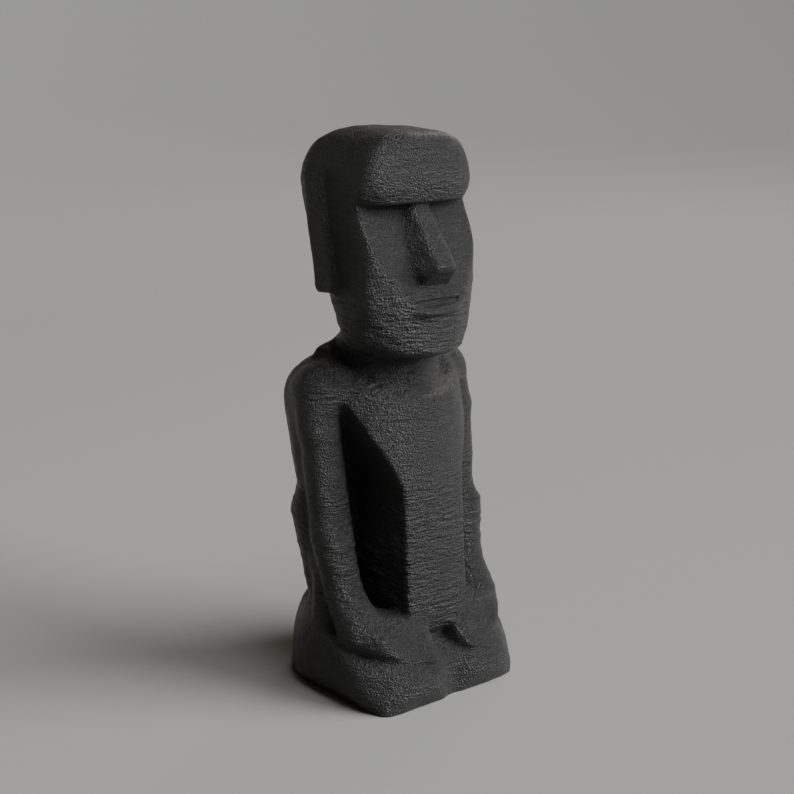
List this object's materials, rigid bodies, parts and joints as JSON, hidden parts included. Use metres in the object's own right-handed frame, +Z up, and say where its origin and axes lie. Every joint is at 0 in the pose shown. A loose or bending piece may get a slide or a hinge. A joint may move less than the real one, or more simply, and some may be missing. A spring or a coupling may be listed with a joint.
{
  "type": "moai statue",
  "caption": "Kneeling stone-head figure with a tall flat-topped head, heavy brow, long ears and hands on its thighs, a matte black ornament on a flat underside.",
  "frame": {"origin": "centre of the figure's bounding box in plan, on its flat underside", "axes": "+Z up from the underside to the crown, -Y the way the face looks, +X the figure's left hand side"},
  "size_m": [0.0464, 0.0396, 0.1201],
  "materials": {
    "print": "matte black with a fine fuzzy grain"
  },
  "bodies": {
    "root": {"moai_figure": "print"}
  },
  "joints": []
}
